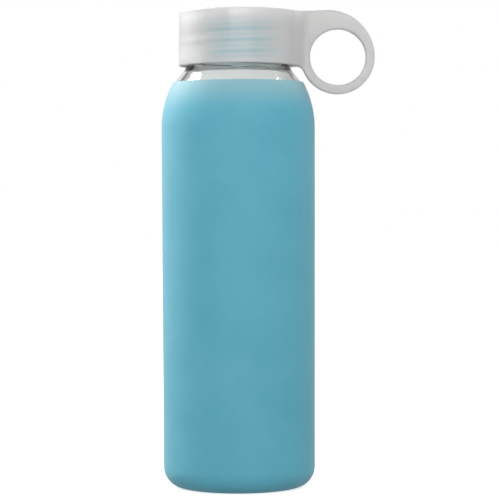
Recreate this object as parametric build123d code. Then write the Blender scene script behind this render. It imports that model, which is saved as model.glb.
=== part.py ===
"""A half-litre glass water bottle with a silicone sleeve and a one-piece screw cap with a carry loop.

Frame: millimetres, +Z up along the bottle's axis, the origin on that axis in the plane the bottle stands on.
The carry loop points along +X. The nodes are glass_bottle, silicone_sleeve, seal_ring and screw_cap.
"""
from build123d import *
import os
from math import radians, sin, sqrt, tan

# ---- Glass bottle -----------------------------------------------------------------------------------------
RIM_Z = 213.9                   # top of the glass mouth
BODY_R = 33.2                   # outside of the glass body
BODY_WALL = 2.1
NECK_R = 22.7                   # outside of the neck, at the root of the thread
MOUTH_R = 19.6                  # bore of the neck
SHOULDER_ANGLE = 38.0           # shoulder cone, degrees from the axis
SHOULDER_DROP = 34.15           # rim to where the body's line and the shoulder cone would meet
SHOULDER_ROUND = 25.0
NECK_ROUND = 12.0
CONE_SHARE = 0.98               # most of the shoulder cone that its two roundings may take up
HEEL_ROUND = 7.3
FLOOR_THICK = 5.5
STAND_RING = 4.9                # flat ring between the heel and the hollow under the base
PUSH_UP_H = 2.6                 # height of that hollow
LIP_ROUND = 1.3

# ---- Thread, single start and right-handed ----------------------------------------------------------------
THREAD_PITCH = 5.0
THREAD_TURNS = 3.0
THREAD_DEPTH = 1.25             # height of the ridges on the neck and in the cap
THREAD_BASE = 2.5               # width of the glass ridge at its root
THREAD_CREST = 1.2              # width of the glass ridge at its crest
THREAD_DROP = 3.6               # rim to the centre of the glass ridge's upper end
THREAD_SINK = 0.3               # how far a ridge's root is buried in its wall
THREAD_FADE = 0.09              # part of a turn over which a ridge rises from its wall
THREAD_FAINT = 0.04             # share of the ridge's height left at its very tip
CREST_GAP = 0.5                 # radial clearance at both crests
CAP_RIDGE_TURNS = 2.4
CAP_RIDGE_BASE = 2.0
CAP_RIDGE_CREST = 1.0
CAP_RIDGE_DROP = 1.85           # how far the cap's ridge runs below the glass ridge it pulls against
CAP_RIDGE_START = 0.75          # part of a turn by which the cap's ridge starts later

# ---- Silicone sleeve --------------------------------------------------------------------------------------
SLEEVE_WALL = 1.8               # at the top of the straight body
SLEEVE_DRAFT = 0.4              # how much narrower the outside is above the heel
SLEEVE_LIP_RISE = 5.55          # corner of the glass shoulder up to the sleeve's lip
SLEEVE_BEND_DROP = 15.35        # that corner down to where the straight body turns into the shoulder
SLEEVE_ROUND = 45.0             # shoulder rounding, slacker than the glass so the wall thins to the lip
SLEEVE_FIT = 0.1                # gap between the sleeve and the glass
SLEEVE_BASE = 2.0               # thickness under the glass
SLEEVE_HEEL = 9.2
SLEEVE_HOLE_STEP = 4.0          # edge of the hollow in to the opening under the base
SLEEVE_HOLE_EDGE = 0.6
SLEEVE_LIP_EDGE = 0.25

# ---- Seal -------------------------------------------------------------------------------------------------
SEAL_THICK = 1.5
SEAL_SIDE_GAP = 0.3             # seal to the cap's bore
SEAL_FACE_GAP = 0.05            # seal to the rim, and seal to the cap's underside
SEAL_OVERHANG = 0.2             # how much larger the seal's opening is than the mouth

# ---- Screw cap and carry loop -----------------------------------------------------------------------------
CAP_SKIRT_DROP = 21.1           # rim to the lower edge of the closed cap
CAP_WALL = 2.75                 # of the skirt, at its lower edge
CAP_DRAFT = 0.4                 # how much narrower the cap is at the top
CAP_TOP = 2.2                   # thickness of the top plate at its rim
CAP_CROWN = 0.3                 # how far the top plate is domed
CAP_TOP_EDGE = 1.0
CAP_SKIRT_EDGE = 0.8
CAP_BORE_EDGE = 0.6
GATE_R = 2.2                    # dimple round the moulding gate
GATE_DEPTH = 0.35
LOOP_WEB = 5.7                  # skirt to the near edge of the carry hole
LOOP_RISE = 3.95                # skirt's lower edge up to the hole's centre
LOOP_HOLE_R = 12.75
LOOP_RIM = 4.15                 # width of the loop below and beside the hole
LOOP_CROWN_R = 21.5             # larger arc that carries the loop up to the cap's top
LOOP_THICK = 5.0
LOOP_NOTCH = 4.2                # rounding between the skirt's lower edge and the loop
LOOP_FLARE = 10.0               # rounding where the loop's flat faces leave the skirt
LOOP_EDGE = 0.9

# ---- What follows from those values -----------------------------------------------------------------------
GLASS_BASE_Z = SLEEVE_BASE + SLEEVE_FIT
SHOULDER_Z = RIM_Z - SHOULDER_DROP
PUSH_UP_R = BODY_R - HEEL_ROUND - STAND_RING
SLEEVE_TOP_R = BODY_R + SLEEVE_FIT + SLEEVE_WALL
SLEEVE_BOTTOM_R = SLEEVE_TOP_R - SLEEVE_DRAFT
SLEEVE_LIP_Z = SHOULDER_Z + SLEEVE_LIP_RISE
SLEEVE_BEND_Z = SHOULDER_Z - SLEEVE_BEND_DROP
SLEEVE_HOLE_R = PUSH_UP_R - SLEEVE_HOLE_STEP
HALF_ANGLE_RUN = tan(radians(SHOULDER_ANGLE / 2))
CONE_RUN = tan(radians(SHOULDER_ANGLE))
GLASS_THREAD_Z = RIM_Z - THREAD_DROP - THREAD_TURNS * THREAD_PITCH
CAP_BORE_R = NECK_R + THREAD_DEPTH + CREST_GAP
CAP_UNDER_Z = RIM_Z + SEAL_THICK + 2 * SEAL_FACE_GAP
CAP_TOP_Z = CAP_UNDER_Z + CAP_TOP
CAP_SKIRT_Z = RIM_Z - CAP_SKIRT_DROP
CAP_R = CAP_BORE_R + CAP_WALL
LOOP_X = CAP_R + LOOP_WEB + LOOP_HOLE_R
LOOP_Z = CAP_SKIRT_Z + LOOP_RISE
LOOP_RING_R = LOOP_HOLE_R + LOOP_RIM
HALF_LOOP = LOOP_THICK / 2


def turned(section):
    """The solid of revolution of a (radius, height) section about the bottle's axis."""
    return revolve(Plane.XZ * section, Axis.Z)


def bottle_line(offset, neck_r, start_r, base_z, heel, neck_round, top_z):
    """Base, heel, body, shoulder and neck as one line, offset outwards from the glass's outer wall."""
    body_r = BODY_R + offset
    corner_z = SHOULDER_Z + offset * HALF_ANGLE_RUN
    neck_z = corner_z + (body_r - neck_r) / CONE_RUN
    corners = [(start_r, base_z), (body_r, base_z), (body_r, corner_z), (neck_r, neck_z), (neck_r, top_z)]
    shoulder_round = SHOULDER_ROUND + offset
    cone = (body_r - neck_r) / sin(radians(SHOULDER_ANGLE))
    fits = min(1, CONE_SHARE * cone / ((shoulder_round + neck_round) * HALF_ANGLE_RUN))
    return FilletPolyline(*corners, radius=[heel, shoulder_round * fits, neck_round * fits])


def ridge(root_r, depth, base, crest, start_z, start_turn, turns):
    """A helical thread ridge on a wall of radius root_r: outwards for a positive depth, else inwards.

    The section is a trapezoid, and both ends fade into the wall.
    """
    sink = THREAD_SINK if depth > 0 else -THREAD_SINK

    def section(path, at, share):
        """The ridge's section on the path, at a share of its full height."""
        point = path @ at
        across = Plane(origin=point, x_dir=(point.X, point.Y, 0), z_dir=path % at)
        half_base = base / 2
        half_crest = half_base + (crest - base) / 2 * share
        top = depth * share
        corners = [(-sink, -half_base), (top, -half_crest), (top, half_crest), (-sink, half_base)]
        return across * make_face(Polyline(*corners, close=True))

    def stretch(from_turn, length):
        """The helix over part of the ridge, from a turn onwards."""
        lift = Pos(0, 0, start_z + from_turn * THREAD_PITCH)
        twist = Rot(0, 0, 360 * (start_turn + from_turn))
        return lift * twist * Helix(THREAD_PITCH, length * THREAD_PITCH, root_r)

    middle = stretch(0, turns)
    foot = stretch(-THREAD_FADE, THREAD_FADE)
    head = stretch(turns, THREAD_FADE)
    foot_sections = [section(foot, 0, THREAD_FAINT), section(foot, 1, 1)]
    head_sections = [section(head, 0, 1), section(head, 1, THREAD_FAINT)]
    return [
        sweep(section(middle, 0, 1), path=middle, is_frenet=True),
        sweep(foot_sections, path=foot, multisection=True, is_frenet=True),
        sweep(head_sections, path=head, multisection=True, is_frenet=True),
    ]


def glass_bottle():
    """Body, shoulder and threaded neck in one piece, with a pushed-up base."""
    floor = (0, GLASS_BASE_Z + FLOOR_THICK)
    lip_z = RIM_Z - LIP_ROUND
    inner_heel = HEEL_ROUND - BODY_WALL / 2
    outside = bottle_line(0, NECK_R, PUSH_UP_R, GLASS_BASE_Z, HEEL_ROUND, NECK_ROUND, lip_z)
    inside = bottle_line(-BODY_WALL, MOUTH_R, 0, floor[1], inner_heel, NECK_ROUND + BODY_WALL, lip_z)
    lip = [
        RadiusArc((NECK_R, lip_z), (NECK_R - LIP_ROUND, RIM_Z), -LIP_ROUND),
        Line((NECK_R - LIP_ROUND, RIM_Z), (MOUTH_R + LIP_ROUND, RIM_Z)),
        RadiusArc((MOUTH_R + LIP_ROUND, RIM_Z), (MOUTH_R, lip_z), -LIP_ROUND),
    ]
    hollow_r = (PUSH_UP_R**2 + PUSH_UP_H**2) / (2 * PUSH_UP_H)
    hollow_top = (0, GLASS_BASE_Z + PUSH_UP_H)
    hollow = RadiusArc((PUSH_UP_R, GLASS_BASE_Z), hollow_top, -hollow_r)
    body = turned(make_face([*outside.edges(), *lip, *inside.edges(), Line(floor, hollow_top), hollow]))
    thread = ridge(NECK_R, THREAD_DEPTH, THREAD_BASE, THREAD_CREST, GLASS_THREAD_Z, 0, THREAD_TURNS)
    return body + thread


def silicone_sleeve():
    """Cup of silicone over the body and the lower shoulder, open at the top and under the base."""
    bend = (SLEEVE_TOP_R, SLEEVE_BEND_Z)
    rise = SLEEVE_LIP_Z - SLEEVE_BEND_Z
    lip = (SLEEVE_TOP_R - SLEEVE_ROUND + sqrt(SLEEVE_ROUND**2 - rise**2), SLEEVE_LIP_Z)
    lip_axis = (0, SLEEVE_LIP_Z)
    side = FilletPolyline((0, 0), (SLEEVE_BOTTOM_R, 0), bend, radius=SLEEVE_HEEL)
    shoulder = RadiusArc(bend, lip, -SLEEVE_ROUND)
    cup = make_face([*side.edges(), shoulder, Line(lip, lip_axis), Line(lip_axis, (0, 0))])
    glass_line = bottle_line(SLEEVE_FIT, NECK_R, 0, SLEEVE_BASE, HEEL_ROUND + SLEEVE_FIT, NECK_ROUND, RIM_Z)
    rim = Line((NECK_R, RIM_Z), (0, RIM_Z))
    glass_space = make_face([*glass_line.edges(), rim, Line((0, RIM_Z), (0, SLEEVE_BASE))])
    base_hole = Rectangle(SLEEVE_HOLE_R * 2, SLEEVE_BASE * 4)
    section = cup - glass_space - base_hole
    section = fillet(section.vertices().group_by(Axis.Y)[-1], SLEEVE_LIP_EDGE)
    section = fillet(section.vertices().group_by(Axis.X)[0], SLEEVE_HOLE_EDGE)
    return turned(section)


def seal_ring():
    """Flat washer clamped between the rim and the cap."""
    inner_r = MOUTH_R + SEAL_OVERHANG
    width = CAP_BORE_R - SEAL_SIDE_GAP - inner_r
    washer = Rectangle(width, SEAL_THICK, align=(Align.MIN, Align.MIN))
    return turned(Pos(inner_r, RIM_Z + SEAL_FACE_GAP) * washer)


def loop_side_view():
    """The loop's outline from the side, reaching into the skirt: notch, ring, larger upper arc and top."""
    hole = Vector(LOOP_X, LOOP_Z)
    far = hole + Vector(LOOP_RING_R, 0)
    crown = far - Vector(LOOP_CROWN_R, 0)
    crown_top = crown + Vector(0, LOOP_CROWN_R)
    crown_middle = crown + Vector(LOOP_CROWN_R, 0).rotate(Axis.Z, 45)
    notch_z = CAP_SKIRT_Z - LOOP_NOTCH
    notch = Vector(LOOP_X - sqrt((LOOP_RING_R + LOOP_NOTCH) ** 2 - (LOOP_Z - notch_z) ** 2), notch_z)
    notch_top = notch + Vector(0, LOOP_NOTCH)
    notch_end = hole + (notch - hole).normalized() * LOOP_RING_R
    notch_middle = notch + (notch_top + notch_end - notch * 2).normalized() * LOOP_NOTCH
    skirt_corner = Vector(CAP_BORE_R, CAP_SKIRT_Z)
    top_corner = Vector(CAP_BORE_R, CAP_TOP_Z)
    return make_face(
        [
            Line(skirt_corner, notch_top),
            ThreePointArc(notch_top, notch_middle, notch_end),
            ThreePointArc(notch_end, hole - Vector(0, LOOP_RING_R), far),
            ThreePointArc(far, crown_middle, crown_top),
            Line(crown_top, top_corner),
            Line(top_corner, skirt_corner),
        ]
    )


def loop_top_view():
    """The loop's outline from above: a bar that flares out to meet the round skirt."""
    skirt_r = CAP_R - CAP_DRAFT / 2
    flare_y = HALF_LOOP + LOOP_FLARE
    flare_x = sqrt((skirt_r + LOOP_FLARE) ** 2 - flare_y**2)
    skirt_point = Vector(flare_x, flare_y).normalized() * skirt_r
    root_x = CAP_BORE_R - THREAD_DEPTH
    end_x = LOOP_X + LOOP_RING_R + LOOP_THICK
    half = make_face(
        [
            Line((root_x, 0), (root_x, skirt_point.Y)),
            Line((root_x, skirt_point.Y), skirt_point),
            RadiusArc(skirt_point, (flare_x, HALF_LOOP), -LOOP_FLARE),
            Line((flare_x, HALF_LOOP), (end_x, HALF_LOOP)),
            Line((end_x, HALF_LOOP), (end_x, 0)),
            Line((end_x, 0), (root_x, 0)),
        ]
    )
    return half + mirror(half, Plane.XZ)


def carry_loop():
    """Flat loop standing beside the skirt, all its edges rounded."""
    height = CAP_TOP_Z
    slab = Pos(0, 0, height / 2) * extrude(loop_top_view(), height)
    plate = extrude(Plane.XZ * loop_side_view(), CAP_R, both=True) & slab
    hole = extrude(Plane.XZ * (Pos(LOOP_X, LOOP_Z) * Circle(LOOP_HOLE_R)), CAP_R, both=True)
    plate = plate - hole
    round_edges = plate.edges().filter_by(GeomType.CIRCLE)
    plate = fillet([e for e in round_edges if abs(e.radius - LOOP_HOLE_R) < LOOP_EDGE], LOOP_EDGE)
    clear_of_hole = LOOP_HOLE_R + 2 * LOOP_EDGE

    def on_outline(edge):
        """Whether an edge runs along the loop's outer outline, on one of its two faces."""
        middle = edge.center()
        from_hole = Vector(middle.X - LOOP_X, middle.Z - LOOP_Z).length
        upright = edge.geom_type == GeomType.LINE and abs((edge % 0.5).Z) > 0.9
        across = abs(middle.Y) < SLEEVE_FIT
        return middle.X > CAP_BORE_R + LOOP_EDGE and from_hole > clear_of_hole and not upright and not across

    return fillet(plate.edges().filter_by(on_outline), LOOP_EDGE)


def screw_cap():
    """Threaded cap and carry loop moulded as one piece."""
    crown = (0, CAP_TOP_Z + CAP_CROWN)
    corners = [(0, CAP_SKIRT_Z), (CAP_R, CAP_SKIRT_Z), (CAP_R - CAP_DRAFT, CAP_TOP_Z), crown]
    outside = FilletPolyline(*corners, radius=[CAP_SKIRT_EDGE, CAP_TOP_EDGE])
    blank = turned(make_face([*outside.edges(), Line(crown, (0, CAP_SKIRT_Z))]))
    bore_h = CAP_UNDER_Z - CAP_SKIRT_Z
    bore = Pos(0, 0, CAP_SKIRT_Z + bore_h / 2) * Cylinder(CAP_BORE_R, bore_h)
    gate_ball = (GATE_R**2 + GATE_DEPTH**2) / (2 * GATE_DEPTH)
    gate = Pos(0, 0, CAP_TOP_Z + CAP_CROWN - GATE_DEPTH + gate_ball) * Sphere(gate_ball)
    cap = blank + carry_loop() - bore - gate
    round_edges = cap.edges().filter_by(GeomType.CIRCLE)
    bore_edges = round_edges.filter_by(lambda e: abs(e.radius - CAP_BORE_R) < CAP_BORE_EDGE)
    cap = fillet(bore_edges.group_by(Axis.Z)[0], CAP_BORE_EDGE)
    ridge_z = GLASS_THREAD_Z - CAP_RIDGE_DROP + CAP_RIDGE_START * THREAD_PITCH
    thread = ridge(
        CAP_BORE_R, -THREAD_DEPTH, CAP_RIDGE_BASE, CAP_RIDGE_CREST, ridge_z, CAP_RIDGE_START, CAP_RIDGE_TURNS
    )
    return cap + thread


def main():
    """Write every node as its own file."""
    os.makedirs("parts", exist_ok=True)
    nodes = {
        "glass_bottle": glass_bottle(),
        "silicone_sleeve": silicone_sleeve(),
        "seal_ring": seal_ring(),
        "screw_cap": screw_cap(),
    }
    for name, node in nodes.items():
        export_step(node, f"parts/{name}.step")


if __name__ == "__main__":
    main()
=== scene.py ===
# %% [markdown]
# # A glass water bottle in a silicone sleeve
#
# The bottle has four pieces: a blown glass body with a threaded neck, a teal silicone sleeve stretched over
# it, a frosted screw cap moulded in one piece with its carry loop, and a thin seal ring inside the cap.
# The measured model is loaded first, as a fixed frame. Every piece made below is placed from that frame.

# %% Load the frame
import bmesh
import bpy
from math import acos, pi, radians, sin, tan
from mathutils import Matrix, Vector


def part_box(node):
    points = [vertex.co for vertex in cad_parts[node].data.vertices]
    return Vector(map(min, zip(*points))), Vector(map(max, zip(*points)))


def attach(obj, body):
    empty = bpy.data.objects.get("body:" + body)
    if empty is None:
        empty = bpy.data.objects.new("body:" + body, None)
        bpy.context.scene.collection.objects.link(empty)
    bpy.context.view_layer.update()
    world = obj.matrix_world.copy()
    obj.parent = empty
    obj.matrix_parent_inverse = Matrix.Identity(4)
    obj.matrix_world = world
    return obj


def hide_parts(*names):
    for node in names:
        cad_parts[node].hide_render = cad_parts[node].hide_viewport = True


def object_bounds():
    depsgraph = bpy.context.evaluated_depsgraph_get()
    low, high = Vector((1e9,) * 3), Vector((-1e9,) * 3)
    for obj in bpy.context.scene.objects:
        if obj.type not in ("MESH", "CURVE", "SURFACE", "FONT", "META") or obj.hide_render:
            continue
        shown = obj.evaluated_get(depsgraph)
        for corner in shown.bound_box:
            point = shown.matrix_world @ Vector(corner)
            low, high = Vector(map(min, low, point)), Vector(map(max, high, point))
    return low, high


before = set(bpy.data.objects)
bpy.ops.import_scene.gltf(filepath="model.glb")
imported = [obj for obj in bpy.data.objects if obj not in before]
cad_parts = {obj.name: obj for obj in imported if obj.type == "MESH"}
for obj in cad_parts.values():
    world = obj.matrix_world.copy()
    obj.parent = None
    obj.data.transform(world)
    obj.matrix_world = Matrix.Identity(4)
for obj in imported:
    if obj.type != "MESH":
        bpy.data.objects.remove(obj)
CAD_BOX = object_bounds()
MM = 0.001
print("CAD box, mm:", [[round(v / MM, 1) for v in corner] for corner in CAD_BOX])

# %% [markdown]
# ## Camera
#
# A bottle portrait is taken with a long lens from about a metre away, a little above the bottle's middle.
# The long lens keeps the sides nearly upright. It is aimed just to the loop's side of the axis, so that the
# body and the loop together fill the frame.

# %% Place the camera
low, high = Vector(CAD_BOX[0]), Vector(CAD_BOX[1])
HEIGHT = high.z - low.z
LENS = 154.7
DISTANCE = 0.986
EYE_Z = low.z + 0.595 * HEIGHT
AIM = Vector((0.0052, 0.0, low.z + 0.4975 * HEIGHT))
ROLL = radians(-0.20)

camera_data = bpy.data.cameras.new("portrait_camera")
camera_data.lens = LENS
camera_data.sensor_width = 36.0
camera_data.clip_end = 50.0
camera = bpy.data.objects.new("portrait_camera", camera_data)
bpy.context.scene.collection.objects.link(camera)
camera.location = Vector((AIM.x, -DISTANCE, EYE_Z))
look = (AIM - camera.location).to_track_quat("-Z", "Y").to_euler()
camera.rotation_euler = look
camera.rotation_euler.rotate_axis("Z", ROLL)
bpy.context.scene.camera = camera
print("camera", round(DISTANCE, 3), "m away, eye height", round(EYE_Z, 4), "m")

# %% [markdown]
# ## Helpers for turned pieces
#
# The glass, the sleeve and the seal are all shapes that a potter or a glassblower would call turned: one
# profile line spun about the axis. A profile is drawn here as corners with roundings, the way a mould
# maker's drawing gives it, and then sampled into points.

# %% Draw a profile with rounded corners
def rounded_line(corners, radii, steps=14):
    """Points (radius, height) along straight runs, with an arc of the given radius at each inner corner."""
    points = [Vector(corners[0])]
    for i, radius in enumerate(radii, start=1):
        before, here, after = (Vector(corners[j]) for j in (i - 1, i, i + 1))
        a, b = (before - here).normalized(), (after - here).normalized()
        half = acos(max(-1.0, min(1.0, a.dot(b)))) / 2
        reach = radius / tan(half)
        centre = here + (a + b).normalized() * (radius / sin(half))
        start, end = (here + a * reach - centre).normalized(), (here + b * reach - centre).normalized()
        points += [centre + start.slerp(end, k / steps) * radius for k in range(steps + 1)]
    points.append(Vector(corners[-1]))
    return points


def spaced(points, gap):
    """The same line with extra points, so that no two neighbours are further apart than gap(height)."""
    out = [points[0]]
    for a, b in zip(points, points[1:]):
        count = max(1, int((b - a).length / gap((a.y + b.y) / 2) + 0.999))
        out += [a.lerp(b, k / count) for k in range(1, count + 1)]
    return out


# %% [markdown]
# ## A node tree that turns a profile and raises a screw thread on it
#
# Turning follows a rule, so Geometry Nodes do it. The tree lays out a grid with one row for each profile
# point and one column for each step round the axis, reads the profile point for each row, and bends the grid
# round. The thread is part of the same rule: the wall swells wherever it is close to a helix. Making the
# ridge in the wall itself keeps the glass one closed skin, which matters for a clear material, because light
# would show any hidden wall between a ridge and the neck.

# %% Build the turning tree
def turning_tree():
    """A node group: profile in, turned piece with an optional thread out."""
    tree = bpy.data.node_groups.new("turn_a_profile", "GeometryNodeTree")
    face = tree.interface
    face.new_socket("Profile", in_out="INPUT", socket_type="NodeSocketGeometry")
    for name, kind in (
        ("Profile Points", "NodeSocketInt"), ("Steps Round", "NodeSocketInt"),
        ("Thread Pitch", "NodeSocketFloat"), ("Thread Depth", "NodeSocketFloat"),
        ("Thread Start Height", "NodeSocketFloat"), ("Thread Start Turn", "NodeSocketFloat"),
        ("Thread Turns", "NodeSocketFloat"), ("Ridge Foot", "NodeSocketFloat"),
        ("Ridge Crest", "NodeSocketFloat"), ("Ridge Fade", "NodeSocketFloat"),
        ("Finish", "NodeSocketMaterial"),
    ):
        face.new_socket(name, in_out="INPUT", socket_type=kind)
    face.new_socket("Piece", in_out="OUTPUT", socket_type="NodeSocketGeometry")
    nodes, links = tree.nodes, tree.links
    given = nodes.new("NodeGroupInput")
    out = nodes.new("NodeGroupOutput")

    def math(kind, a, b=None, c=None):
        """One Math node, fed by sockets or numbers."""
        node = nodes.new("ShaderNodeMath")
        node.operation = kind
        for socket, value in zip(node.inputs, (a, b, c)):
            if value is None:
                continue
            if isinstance(value, (int, float)):
                socket.default_value = value
            else:
                links.new(value, socket)
        return node.outputs[0]

    grid = nodes.new("GeometryNodeMeshGrid")
    columns = math("ADD", given.outputs["Steps Round"], 1)
    links.new(given.outputs["Profile Points"], grid.inputs["Vertices X"])
    links.new(columns, grid.inputs["Vertices Y"])
    index = nodes.new("GeometryNodeInputIndex").outputs[0]
    row = math("FLOOR", math("DIVIDE", math("ADD", index, 0.5), columns))
    column = math("SUBTRACT", index, math("MULTIPLY", row, columns))
    turn = math("DIVIDE", column, given.outputs["Steps Round"])

    def read(kind, value):
        """A value read from the profile point of this row."""
        sample = nodes.new("GeometryNodeSampleIndex")
        sample.data_type = kind
        sample.domain = "POINT"
        links.new(given.outputs["Profile"], sample.inputs["Geometry"])
        links.new(value, sample.inputs["Value"])
        links.new(row, sample.inputs["Index"])
        return sample.outputs[0]

    place = nodes.new("ShaderNodeSeparateXYZ")
    links.new(read("FLOAT_VECTOR", nodes.new("GeometryNodeInputPosition").outputs[0]), place.inputs[0])
    share_name = nodes.new("GeometryNodeInputNamedAttribute")
    share_name.data_type = "FLOAT"
    share_name.inputs["Name"].default_value = "thread_share"
    share = read("FLOAT", share_name.outputs[0])

    rise = math("SUBTRACT", place.outputs["Z"], given.outputs["Thread Start Height"])
    turns_up = math("DIVIDE", rise, given.outputs["Thread Pitch"])
    own_turn = math("SUBTRACT", turn, given.outputs["Thread Start Turn"])
    ahead = math("SUBTRACT", turns_up, own_turn)
    lap = math("ROUND", ahead)
    off = math("MULTIPLY", math("ABSOLUTE", math("SUBTRACT", ahead, lap)), given.outputs["Thread Pitch"])
    along = math("ADD", own_turn, lap)

    def smooth(value, low_end, high_end):
        """A soft step from 0 at low_end to 1 at high_end."""
        step = nodes.new("ShaderNodeMapRange")
        step.interpolation_type = "SMOOTHSTEP"
        for name, v in (("Value", value), ("From Min", low_end), ("From Max", high_end)):
            if isinstance(v, (int, float)):
                step.inputs[name].default_value = v
            else:
                links.new(v, step.inputs[name])
        return step.outputs[0]

    flank = smooth(off, given.outputs["Ridge Foot"], given.outputs["Ridge Crest"])
    fade = given.outputs["Ridge Fade"]
    start_fade = smooth(along, math("MULTIPLY", fade, -1), 0.0)
    past_end = math("SUBTRACT", along, given.outputs["Thread Turns"])
    end_fade = smooth(past_end, fade, 0.0)
    height = math("MULTIPLY", math("MULTIPLY", flank, share), math("MULTIPLY", start_fade, end_fade))
    radius = math("MULTIPLY_ADD", height, given.outputs["Thread Depth"], place.outputs["X"])
    angle = math("MULTIPLY", turn, 2 * pi)
    bent = nodes.new("ShaderNodeCombineXYZ")
    links.new(math("MULTIPLY", radius, math("COSINE", angle)), bent.inputs["X"])
    links.new(math("MULTIPLY", radius, math("SINE", angle)), bent.inputs["Y"])
    links.new(place.outputs["Z"], bent.inputs["Z"])

    chain = grid.outputs["Mesh"]
    steps = ["GeometryNodeSetPosition", "GeometryNodeMergeByDistance", "GeometryNodeSetShadeSmooth"]
    steps += ["GeometryNodeRealizeInstances", "GeometryNodeSetMaterial"]
    for kind in steps:
        node = nodes.new(kind)
        links.new(chain, node.inputs["Geometry" if "Geometry" in node.inputs else "Mesh"])
        if kind == "GeometryNodeSetPosition":
            links.new(bent.outputs[0], node.inputs["Position"])
        if kind == "GeometryNodeMergeByDistance":
            node.inputs["Distance"].default_value = 2e-6
        if kind == "GeometryNodeSetMaterial":
            links.new(given.outputs["Finish"], node.inputs["Material"])
        chain = node.outputs[0]
    links.new(chain, out.inputs["Piece"])
    return tree


TURNING = turning_tree()
print("turning tree with", len(TURNING.nodes), "nodes")

# %% [markdown]
# ## From a profile to a piece
#
# The tree is hung on a profile line, worked out, and kept as a plain mesh. The mesh's own volume tells
# whether its faces point outwards, and it is a quick check of the wall: a real bottle's glass can be weighed.

# %% Turn one profile into a plain mesh
NO_THREAD = {"Thread Pitch": 0.005, "Ridge Foot": 0.001, "Ridge Crest": 0.0005, "Ridge Fade": 0.1}


def signed_volume(mesh):
    """Volume of a closed mesh, negative where its faces point inwards."""
    mesh.calc_loop_triangles()
    points = [v.co for v in mesh.vertices]
    corners = (triangle.vertices for triangle in mesh.loop_triangles)
    return sum(points[a].dot(points[b].cross(points[c])) for a, b, c in corners) / 6


def turned_piece(name, profile, finish, steps_round, share=None, **thread):
    """An object at the origin whose mesh is the turned profile."""
    line = bpy.data.meshes.new(name + "_profile")
    line.from_pydata([(p.x, 0, p.y) for p in profile], [(i, i + 1) for i in range(len(profile) - 1)], [])
    attribute = line.attributes.new("thread_share", "FLOAT", "POINT")
    attribute.data.foreach_set("value", [share(p) if share else 0.0 for p in profile])
    drawn = bpy.data.objects.new(name + "_profile", line)
    bpy.context.scene.collection.objects.link(drawn)
    modifier = drawn.modifiers.new("turning", "NODES")
    modifier.node_group = TURNING
    values = {"Profile Points": len(profile), "Steps Round": steps_round, "Finish": finish}
    values.update({**NO_THREAD, **thread})
    for item in TURNING.interface.items_tree:
        if item.in_out == "INPUT" and item.name in values:
            modifier[item.identifier] = values[item.name]
    evaluated = drawn.evaluated_get(bpy.context.evaluated_depsgraph_get())
    mesh = bpy.data.meshes.new_from_object(evaluated)
    bpy.data.objects.remove(drawn)
    mesh.name = name
    volume = signed_volume(mesh)
    if volume < 0:
        mesh.flip_normals()
    if not mesh.materials:
        mesh.materials.append(finish)
    piece = bpy.data.objects.new(name, mesh)
    bpy.context.scene.collection.objects.link(piece)
    print(name, len(mesh.polygons), "faces,", round(abs(volume) * 1e6, 1), "cubic centimetres")
    return piece


# %% [markdown]
# ## Finishes
#
# Each finish is a small node tree around one Principled shader. A helper makes the shader and the
# coordinate node that every finish needs. Patterns read Object coordinates, so they stay on the piece when
# it moves.

# %% Start a finish
class Finish:
    """A material with a Principled shader and short ways to add nodes to it."""

    def __init__(self, name, **values):
        self.material = bpy.data.materials.new(name)
        self.material.use_nodes = True
        self.nodes = self.material.node_tree.nodes
        self.links = self.material.node_tree.links
        self.shader = self.nodes["Principled BSDF"]
        for socket, value in values.items():
            self.shader.inputs[socket.replace("_", " ")].default_value = value
        self.where = self.nodes.new("ShaderNodeTexCoord").outputs["Object"]

    def node(self, kind, inputs=None, **settings):
        """A node with its settings made and its inputs set or linked."""
        node = self.nodes.new(kind)
        for key, value in settings.items():
            setattr(node, key, value)
        for key, value in (inputs or {}).items():
            if isinstance(value, bpy.types.NodeSocket):
                self.links.new(value, node.inputs[key])
            else:
                node.inputs[key].default_value = value
        return node

    def noise(self, scale, detail=3.0, roughness=0.5, vector=None):
        """Noise on the piece, scale in features per metre."""
        inputs = {"Vector": vector or self.where, "Scale": scale, "Detail": detail, "Roughness": roughness}
        return self.node("ShaderNodeTexNoise", inputs).outputs["Fac"]

    def math(self, operation, a, b=0.0, c=0.0):
        """One Math node."""
        return self.node("ShaderNodeMath", {0: a, 1: b, 2: c}, operation=operation).outputs[0]

    def span(self, value, low_in, high_in, low_out, high_out, smooth=False):
        """A value mapped from one range to another."""
        inputs = {"Value": value, "From Min": low_in, "From Max": high_in}
        inputs.update({"To Min": low_out, "To Max": high_out})
        kind = "SMOOTHSTEP" if smooth else "LINEAR"
        return self.node("ShaderNodeMapRange", inputs, interpolation_type=kind).outputs[0]

    def colours(self, value, stops):
        """A colour ramp: stops are (position, colour)."""
        ramp = self.node("ShaderNodeValToRGB", {"Fac": value})
        elements = ramp.color_ramp.elements
        while len(elements) < len(stops):
            elements.new(0.5)
        for element, (position, colour) in zip(elements, stops):
            element.position = position
            element.color = (*colour, 1.0)
        return ramp.outputs["Color"]

    def blend(self, share, first, second):
        """One colour passing into another by a share."""
        inputs = {"Factor": share, "A": first, "B": second}
        return self.node("ShaderNodeMix", inputs, data_type="RGBA").outputs["Result"]

    def bump(self, height, distance, strength=1.0, below=None):
        """A bump, optionally on top of another."""
        inputs = {"Height": height, "Distance": distance, "Strength": strength}
        if below:
            inputs["Normal"] = below
        return self.node("ShaderNodeBump", inputs).outputs["Normal"]

    def feed(self, socket, value):
        """Links a value into the shader."""
        self.links.new(value, self.shader.inputs[socket])


def srgb(red, green, blue):
    """A colour given as on a paint chart, 0 to 255, as the linear light the shaders use."""
    return tuple(((c / 255 + 0.055) / 1.055) ** 2.4 for c in (red, green, blue))


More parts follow.
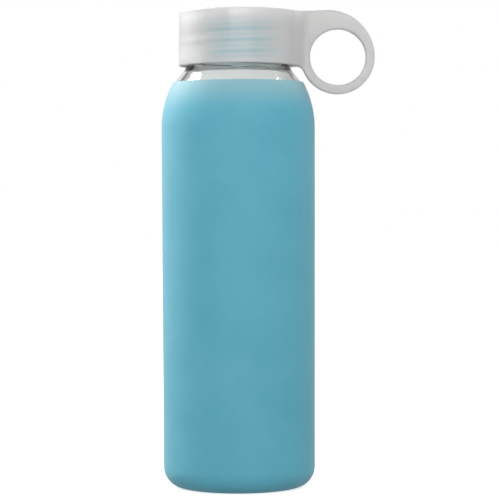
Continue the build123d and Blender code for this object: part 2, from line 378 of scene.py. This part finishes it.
# %% [markdown]
# ### Clear glass
#
# Bottle glass is clear with the faintest green. A moulded bottle is never as flat as a window: it has slow
# waves from the mould and two fine seams where the mould's halves met.

# %% Mix the glass
glass = Finish("clear_glass", Transmission_Weight=1.0, IOR=1.5, Roughness=0.004)
glass.shader.inputs["Base Color"].default_value = (0.965, 0.99, 0.982, 1.0)
parts = glass.node("ShaderNodeSeparateXYZ", {"Vector": glass.where})
waves = glass.bump(glass.noise(70.0, 1.0), 0.0003, 0.1)
seam = glass.span(glass.math("ABSOLUTE", parts.outputs["Y"]), 0.0, 0.00018, 1.0, 0.0, True)
glass.feed("Normal", glass.bump(seam, 0.00006, 0.6, waves))
print("glass finish:", len(glass.nodes), "nodes")

# %% [markdown]
# ### Silicone
#
# Moulded silicone is matt and slightly chalky: light catches on its edges as a soft sheen. Its pigment is
# even, with a faint cloudiness, and the mould leaves a very fine grain and one hair-thin parting line on
# each side. Towards the lip the wall thins. The light from behind that shines through it, and the sheen from
# above, are painted into the colour as a paler teal towards the lip.

# %% Mix the silicone
LIP_LIGHT_FROM, LIP_LIGHT_TO = 171.0 * MM, 187.0 * MM
LIP_LIGHT_SHARE = 0.65
silicone = Finish("teal_silicone", Roughness=0.62, IOR=1.42, Sheen_Weight=0.17, Sheen_Roughness=0.4)
silicone.shader.inputs["Subsurface Weight"].default_value = 0.25
silicone.shader.inputs["Subsurface Radius"].default_value = (1.0, 1.0, 1.0)
silicone.shader.inputs["Subsurface Scale"].default_value = 0.0012
silicone.shader.inputs["Sheen Tint"].default_value = (1.0, 0.97, 0.94, 1.0)
cloud = silicone.noise(38.0, 4.0, 0.6)
teal = silicone.colours(cloud, [(0.3, srgb(79, 155, 174)), (0.7, srgb(87, 161, 180))])
parts = silicone.node("ShaderNodeSeparateXYZ", {"Vector": silicone.where})
# Painted light: the teal turns paler towards the lip, standing in for light through the thin wall and sheen
# from above.
painted_lip_light = silicone.span(parts.outputs["Z"], LIP_LIGHT_FROM, LIP_LIGHT_TO, 0.0, LIP_LIGHT_SHARE, True)
silicone.feed("Base Color", silicone.blend(painted_lip_light, teal, (*srgb(146, 174, 178), 1.0)))
grain = silicone.noise(2600.0, 2.0, 0.6)
grained = silicone.bump(grain, 0.00004, 0.5)
pores = silicone.bump(silicone.noise(420.0, 3.0, 0.55), 0.00008, 0.35, grained)
parting = silicone.span(silicone.math("ABSOLUTE", parts.outputs["Y"]), 0.0, 0.00022, 1.0, 0.0, True)
silicone.feed("Normal", silicone.bump(parting, 0.00008, 0.6, pores))
silicone.feed("Roughness", silicone.span(grain, 0.2, 0.8, 0.55, 0.7))
print("silicone finish:", len(silicone.nodes), "nodes")

# %% [markdown]
# ### The seal's silicone
#
# Food-grade silicone for a seal is usually left undyed, a milky white with a smooth matt face.

# %% Mix the seal's silicone
soft_white = Finish("seal_silicone", Roughness=0.5, IOR=1.42, Sheen_Weight=0.1)
milky = soft_white.colours(soft_white.noise(60.0), [(0.3, srgb(226, 227, 224)), (0.7, srgb(236, 236, 233))])
soft_white.feed("Base Color", milky)
soft_white.feed("Normal", soft_white.bump(soft_white.noise(1800.0), 0.00003, 0.4))

# %% [markdown]
# ### Frosted plastic
#
# The cap is natural, undyed plastic with a blasted mould surface. Light goes through it but is scattered:
# rough transmission and a little light under the skin give that milk. In the middle of the skirt, where one
# looks straight through both walls, the thread shows as soft bands with the sleeve's teal light between them.
# A rough skin would blur them away, so the bands and the teal light are painted into the colour along the
# thread's own helix, as a painted refraction. The loop is solid and lets less light through, so it gets
# a painted shade: a darker copy of the same plastic.

# %% Mix the frosted plastic
BANDS_FROM, BANDS_TO = 193.5 * MM, 214.5 * MM
BANDS_START_Z = 194.2 * MM
THREAD_PITCH = 5.0 * MM
SKIRT_EDGE_R = 27.5 * MM
MIDDLE_X = 2.0 * MM
SKIRT_COLOUR, LOOP_SHADE_COLOUR = (0.90, 0.905, 0.90), (0.68, 0.675, 0.67)
PAINTED_TEAL_LIGHT = (0.36, 0.66, 0.74, 1.0)

frosted = Finish("frosted_plastic", Transmission_Weight=0.62, IOR=1.46, Roughness=0.36)
frosted.shader.inputs["Subsurface Weight"].default_value = 0.6
frosted.shader.inputs["Subsurface Radius"].default_value = (1.0, 1.0, 1.0)
frosted.shader.inputs["Subsurface Scale"].default_value = 0.003
parts = frosted.node("ShaderNodeSeparateXYZ", {"Vector": frosted.where})
x, y, z = (parts.outputs[axis] for axis in "XYZ")
squares = frosted.math("ADD", frosted.math("MULTIPLY", x, x), frosted.math("MULTIPLY", y, y))
radius = frosted.math("SQRT", squares)

# %% Count the thread's turns at each point of the cap
turn = frosted.math("DIVIDE", frosted.math("ARCTAN2", y, x), 2 * pi)
turns_up = frosted.math("DIVIDE", frosted.math("SUBTRACT", z, BANDS_START_Z), THREAD_PITCH)
ahead = frosted.math("SUBTRACT", turns_up, turn)
wave = frosted.math("COSINE", frosted.math("MULTIPLY", ahead, 2 * pi))
ripple = frosted.math("COSINE", frosted.math("MULTIPLY", ahead, 4 * pi))
painted_band_lines = frosted.math("ADD", frosted.math("MULTIPLY", wave, 0.12), frosted.math("MULTIPLY", ripple, 0.17))
painted_band_lines = frosted.math("ADD", painted_band_lines, 0.42)

# %% Keep the bands to the middle of the skirt
above = frosted.span(z, BANDS_FROM, BANDS_FROM + 3.0 * MM, 0.0, 1.0, True)
under = frosted.span(z, BANDS_TO - 6.0 * MM, BANDS_TO, 1.0, 0.0, True)
in_skirt = frosted.span(radius, SKIRT_EDGE_R, SKIRT_EDGE_R + 1.5 * MM, 1.0, 0.0, True)
aside = frosted.math("ABSOLUTE", frosted.math("SUBTRACT", x, MIDDLE_X))
middle = frosted.span(aside, 3.0 * MM, 23.5 * MM, 1.0, 0.0, True)
streak = frosted.span(frosted.noise(45.0, 2.0), 0.3, 0.7, 0.55, 1.15)
# Painted refraction: the thread's bands, with the sleeve's teal light seen through both walls between them.
painted_teal_bands = painted_band_lines
for limit in (above, under, in_skirt, middle, streak):
    painted_teal_bands = frosted.math("MULTIPLY", painted_teal_bands, limit)

# %% Colour with the painted loop shade and the painted teal light, frost and flow marks
# Painted shade: the solid loop lets less light through, so it gets a darker copy of the plastic's colour.
loop_shade_share = frosted.span(radius, SKIRT_EDGE_R, SKIRT_EDGE_R + 6.0 * MM, 0.0, 1.0, True)
body = frosted.colours(loop_shade_share, [(0.0, SKIRT_COLOUR), (1.0, LOOP_SHADE_COLOUR)])
frosted.feed("Base Color", frosted.blend(painted_teal_bands, body, PAINTED_TEAL_LIGHT))
frosting = frosted.noise(2200.0, 2.0, 0.6)
frosted.feed("Roughness", frosted.span(frosted.noise(55.0, 3.0), 0.3, 0.7, 0.33, 0.42))
blasted = frosted.bump(frosting, 0.00003, 0.5)
flow = frosted.bump(frosted.noise(120.0, 2.0), 0.0002, 0.12, blasted)
frosted.feed("Normal", flow)
print("frosted finish:", len(frosted.nodes), "nodes")

# %% [markdown]
# ## The glass bottle
#
# A blown bottle's wall keeps about one thickness from the base to the shoulder. The outer and inner lines
# are drawn as one profile: up the outside, over the rounded lip, and down the inside to the thick base. The
# points lie closer together on the neck, where the thread rises out of the wall.

# %% Draw and turn the glass
glass_low, glass_high = (Vector(v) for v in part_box("glass_bottle"))
BODY_R = glass_high.x
BASE_Z, RIM_Z = glass_low.z, glass_high.z
WALL = 2.1 * MM
NECK_R = 22.7 * MM
MOUTH_R = 19.6 * MM
SHOULDER_ANGLE = radians(38.0)
SHOULDER_Z = 179.75 * MM
SHOULDER_ROUND = 25.0 * MM
NECK_ROUND = 12.0 * MM
HEEL_ROUND = 7.3 * MM
FLOOR = 5.5 * MM
LIP_ROUND = 1.3 * MM
PUSH_UP_R, PUSH_UP_H = 21.0 * MM, 2.6 * MM


def bottle_line(offset, neck_r, start_r, base_z, heel, neck_round, top_z):
    """Base, heel, body, shoulder and neck, offset outwards from the glass's outer wall."""
    body_r = BODY_R + offset
    corner_z = SHOULDER_Z + offset * tan(SHOULDER_ANGLE / 2)
    neck_z = corner_z + (body_r - neck_r) / tan(SHOULDER_ANGLE)
    corners = [(start_r, base_z), (body_r, base_z), (body_r, corner_z), (neck_r, neck_z), (neck_r, top_z)]
    return rounded_line(corners, [heel, SHOULDER_ROUND + offset, neck_round])


lip_z = RIM_Z - LIP_ROUND
hollow_r = (PUSH_UP_R**2 + PUSH_UP_H**2) / (2 * PUSH_UP_H)
hollow_middle = BASE_Z + PUSH_UP_H - hollow_r
hollow_steps = [PUSH_UP_R * k / 16 for k in range(16)]
hollow = [Vector((r, hollow_middle + (hollow_r**2 - r**2) ** 0.5)) for r in hollow_steps]
outside = bottle_line(0, NECK_R, PUSH_UP_R, BASE_Z, HEEL_ROUND, NECK_ROUND, lip_z)
lip_corners = [(NECK_R, lip_z), (NECK_R, RIM_Z), (MOUTH_R, RIM_Z), (MOUTH_R, lip_z)]
lip = rounded_line(lip_corners, [LIP_ROUND, LIP_ROUND], 8)
inside = bottle_line(-WALL, MOUTH_R, 0, BASE_Z + FLOOR, HEEL_ROUND - WALL / 2, NECK_ROUND + WALL, lip_z)
neck_starts = RIM_Z - 21 * MM
profile = hollow + outside + lip[1:-1] + list(reversed(inside))
profile = spaced(profile, lambda z: 0.3 * MM if z > neck_starts else 6 * MM)
THREAD_DEPTH, THREAD_TURNS, THREAD_DROP = 1.25 * MM, 3.0, 3.6 * MM
THREAD_Z = RIM_Z - THREAD_DROP - THREAD_TURNS * THREAD_PITCH
glass_piece = turned_piece(
    "glass", profile, glass.material, 144,
    share=lambda p: 1.0 if p.x > MOUTH_R + WALL and p.y > neck_starts else 0.0,
    **{"Thread Pitch": THREAD_PITCH, "Thread Depth": THREAD_DEPTH, "Thread Start Height": THREAD_Z,
       "Thread Turns": THREAD_TURNS, "Ridge Foot": 1.25 * MM, "Ridge Crest": 0.5 * MM, "Ridge Fade": 0.09},
)
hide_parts("glass_bottle")
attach(glass_piece, "bottle")

# %% [markdown]
# ## The silicone sleeve
#
# The sleeve is a cup of silicone that fits the glass all over. Its wall thins towards the lip, because the
# outside is rounded more slackly than the glass.

# %% Draw and turn the sleeve
_, sleeve_high = (Vector(v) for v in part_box("silicone_sleeve"))
SLEEVE_TOP_R = sleeve_high.x
SLEEVE_DRAFT = 0.4 * MM
SLEEVE_BOTTOM_R = SLEEVE_TOP_R - SLEEVE_DRAFT
SLEEVE_HEEL = 9.2 * MM
LIP_EDGE, HOLE_EDGE = 0.25 * MM, 0.6 * MM
LIP_Z = sleeve_high.z
BEND_Z = 164.4 * MM
SLEEVE_ROUND = 45.0 * MM
HOLE_R = 17.0 * MM
FIT = 0.1 * MM
SLEEVE_BASE = BASE_Z - FIT
rise = LIP_Z - BEND_Z
side = rounded_line([(HOLE_R, 0), (SLEEVE_BOTTOM_R, 0), (SLEEVE_TOP_R, BEND_Z)], [SLEEVE_HEEL])
shoulder = [
    Vector((SLEEVE_TOP_R - SLEEVE_ROUND + (SLEEVE_ROUND**2 - h**2) ** 0.5, BEND_Z + h))
    for h in (rise * k / 24 for k in range(1, 25))
]
inner = bottle_line(FIT, NECK_R, HOLE_R, SLEEVE_BASE, HEEL_ROUND + FIT, NECK_ROUND, RIM_Z)
inner = [p for p in spaced(inner, lambda z: 1 * MM) if p.y < LIP_Z]
inner_lip = Vector((inner[-1].x - (LIP_Z - inner[-1].y) * tan(SHOULDER_ANGLE), LIP_Z))
lip_corners = [tuple(p) for p in (shoulder[-2], shoulder[-1], inner_lip, inner[-1])]
lip_edge = rounded_line(lip_corners, [LIP_EDGE] * 2, 5)[1:-1]
half_base = SLEEVE_BASE / 2
edge_out = rounded_line([(HOLE_R, half_base), (HOLE_R, 0), (side[1].x, 0)], [HOLE_EDGE], 6)
edge_in = rounded_line([(side[1].x, SLEEVE_BASE), (HOLE_R, SLEEVE_BASE), (HOLE_R, half_base)], [HOLE_EDGE], 6)
inner_down = [p for p in reversed(inner) if p.x > HOLE_R + 1 * MM and p.y < LIP_Z - 0.3 * MM]
section = edge_out[:-1] + side[1:] + shoulder[:-1] + lip_edge + inner_down + edge_in[1:]
section = spaced(section, lambda z: 3 * MM)
sleeve_piece = turned_piece("sleeve", section, silicone.material, 144)
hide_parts("silicone_sleeve")
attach(sleeve_piece, "bottle")

# %% [markdown]
# ## The seal ring
#
# A plain silicone washer, seen only when the cap is off or through the frosted top.

# %% Turn the seal
seal_low, seal_high = (Vector(v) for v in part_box("seal_ring"))
SEAL_OVERHANG, SEAL_EDGE = 0.2 * MM, 0.25 * MM
seal_r, seal_bore = seal_high.x, MOUTH_R + SEAL_OVERHANG
middle_r = (seal_r + seal_bore) / 2
corners = [(middle_r, seal_low.z), (seal_r, seal_low.z), (seal_r, seal_high.z), (seal_bore, seal_high.z),
           (seal_bore, seal_low.z), (middle_r, seal_low.z)]
seal_piece = turned_piece("seal", rounded_line(corners, [SEAL_EDGE] * 4, 4), soft_white.material, 96)
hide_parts("seal_ring")
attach(seal_piece, "seal")

# %% [markdown]
# ## The screw cap and its carry loop
#
# The cap and the loop are one moulding, and the measured model already has its true shape: the skirt, the
# inner thread, the rounded loop and the flares between them. So the piece is a copy of that solid, welded
# into one skin with smooth shading across its curves.

# %% Weld and smooth the cap
WELD = 2e-6
SHARP_FROM = radians(32)
cap_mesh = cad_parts["screw_cap"].data.copy()
cap_mesh.name = "cap"
skin = bmesh.new()
skin.from_mesh(cap_mesh)
bmesh.ops.remove_doubles(skin, verts=skin.verts, dist=WELD)
skin.to_mesh(cap_mesh)
skin.free()
cap_mesh.materials.clear()
cap_mesh.materials.append(frosted.material)
cap_mesh.shade_smooth()
cap_mesh.set_sharp_from_angle(angle=SHARP_FROM)
cap_piece = bpy.data.objects.new("cap", cap_mesh)
bpy.context.scene.collection.objects.link(cap_piece)
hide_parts("screw_cap")
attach(cap_piece, "cap")
print("cap:", len(cap_mesh.polygons), "faces,", round(signed_volume(cap_mesh) * 1e6, 2), "cubic centimetres")

# %% [markdown]
# ## Studio
#
# The set is a white table in a white surround. What the lens sees of the table is a bright sheet, and what
# the bottle sees is a greyer one at the same place, so that the light from below stays gentle.

# %% Lay the table
TABLE_REACH = 6.0
TABLE_DROP = 0.1 * MM


def table_top(name, drop, finish):
    """A large level sheet just under the bottle."""
    mesh = bpy.data.meshes.new(name)
    corners = [(TABLE_REACH * i, TABLE_REACH * j, 0) for i, j in ((-1, -1), (1, -1), (1, 1), (-1, 1))]
    mesh.from_pydata(corners, [], [(0, 1, 2, 3)])
    mesh.materials.append(finish.material)
    top = bpy.data.objects.new(name, mesh)
    bpy.context.scene.collection.objects.link(top)
    top.location.z = low.z - drop
    return top


white = Finish("white_table", Roughness=0.9, Emission_Strength=0.72)
white.shader.inputs["Base Color"].default_value = (0.6, 0.6, 0.6, 1.0)
white.shader.inputs["Specular IOR Level"].default_value = 0.0
white.shader.inputs["Emission Color"].default_value = (1.0, 1.0, 1.0, 1.0)
table = table_top("white_table", TABLE_DROP, white)
table.visible_diffuse = table.visible_glossy = table.visible_transmission = False
grey = Finish("table_bounce", Roughness=0.9, Emission_Strength=0.34)
grey.shader.inputs["Base Color"].default_value = (0.36, 0.36, 0.36, 1.0)
grey.shader.inputs["Emission Color"].default_value = (1.0, 1.0, 1.0, 1.0)
grey.shader.inputs["Specular IOR Level"].default_value = 0.0
bounce = table_top("table_bounce", 2 * TABLE_DROP, grey)
bounce.visible_camera = False

# %% [markdown]
# ### The surround
#
# The surround is pure white behind the bottle. The light it gives is less even: stronger from the left and
# from behind, as in a studio with a window side.

# %% Surround the set
world = bpy.data.worlds.new("white_surround")
bpy.context.scene.world = world
world.use_nodes = True
sky, wire = world.node_tree.nodes, world.node_tree.links
direction = sky.new("ShaderNodeTexCoord").outputs["Generated"]
split = sky.new("ShaderNodeSeparateXYZ")
wire.new(direction, split.inputs[0])


def lobe(axis_value, low_end, high_end, low_out, high_out):
    """Brightness that changes softly with one component of the direction."""
    node = sky.new("ShaderNodeMapRange")
    node.interpolation_type = "SMOOTHSTEP"
    wire.new(axis_value, node.inputs["Value"])
    ends = {"From Min": low_end, "From Max": high_end, "To Min": low_out, "To Max": high_out}
    for socket, value in ends.items():
        node.inputs[socket].default_value = value
    return node.outputs[0]


def times(a, b):
    """Product of two brightnesses."""
    node = sky.new("ShaderNodeMath")
    node.operation = "MULTIPLY"
    wire.new(a, node.inputs[0])
    wire.new(b, node.inputs[1])
    return node.outputs[0]


front_to_back = lobe(split.outputs["Y"], -0.6, 0.7, 0.60, 0.80)
left_to_right = lobe(split.outputs["X"], -0.9, 0.9, 1.22, 0.66)
level = times(front_to_back, left_to_right)
lit = sky["Background"]
wire.new(level, lit.inputs["Strength"])
shown = sky.new("ShaderNodeBackground")
shown.inputs["Color"].default_value = (1.0, 1.0, 1.0, 1.0)
lit.inputs["Color"].default_value = (1.0, 1.0, 1.0, 1.0)
path = sky.new("ShaderNodeLightPath")
mix = sky.new("ShaderNodeMixShader")
wire.new(path.outputs["Is Camera Ray"], mix.inputs["Fac"])
wire.new(lit.outputs[0], mix.inputs[1])
wire.new(shown.outputs[0], mix.inputs[2])
wire.new(mix.outputs[0], sky["World Output"].inputs["Surface"])


# %% [markdown]
# ### Black cards
#
# Clear glass on white needs dark edges to be seen. Two tall black cards stand behind the bottle, out of the
# lens's view. Only light that comes through the glass meets them, bent outwards by the edges of the wall.

# %% Stand two black cards behind
CARD_BACK, CARD_TOP = 0.35, 0.6
CARD_ANGLES = radians(25.0), radians(46.0)
card_finish = Finish("black_card", Roughness=1.0)
card_finish.shader.inputs["Base Color"].default_value = (0.003, 0.003, 0.003, 1.0)
card_finish.shader.inputs["Specular IOR Level"].default_value = 0.0
for side in (-1, 1):
    near, far = (side * CARD_BACK * tan(angle) for angle in CARD_ANGLES)
    mesh = bpy.data.meshes.new("black_card")
    corners = [(near, 0.0), (far, 0.0), (far, CARD_TOP), (near, CARD_TOP)]
    mesh.from_pydata([(across, CARD_BACK, up) for across, up in corners], [], [(0, 1, 2, 3)])
    mesh.materials.append(card_finish.material)
    card = bpy.data.objects.new("black_card", mesh)
    bpy.context.scene.collection.objects.link(card)
    card.visible_camera = card.visible_diffuse = card.visible_glossy = card.visible_shadow = False

# %% [markdown]
# ### Soft lights
#
# A broad light stands above the lens. A narrow upright one at the left and a small weak one at the right
# stand a little behind the bottle, and they draw the two pale edges down the sleeve.

# %% Place the soft lights
def softbox(name, place, aim, size, power):
    """A rectangular light facing a point."""
    data = bpy.data.lights.new(name, "AREA")
    data.shape = "RECTANGLE"
    data.size, data.size_y = size
    data.energy = power
    box = bpy.data.objects.new(name, data)
    bpy.context.scene.collection.objects.link(box)
    box.location = place
    box.rotation_euler = (Vector(aim) - box.location).to_track_quat("-Z", "Y").to_euler()
    return box


softbox("front_softbox", (0.1, -0.9, 0.55), (0, 0, 0.12), (0.7, 0.5), 6.3)
softbox("left_softbox", (-0.62, 0.33, 0.62), (0, 0, 0.12), (0.3, 0.5), 8.2)
softbox("right_softbox", (0.62, 0.12, 0.66), (0, 0, 0.13), (0.25, 0.35), 1.4)
bpy.context.scene.view_settings.view_transform = "Standard"
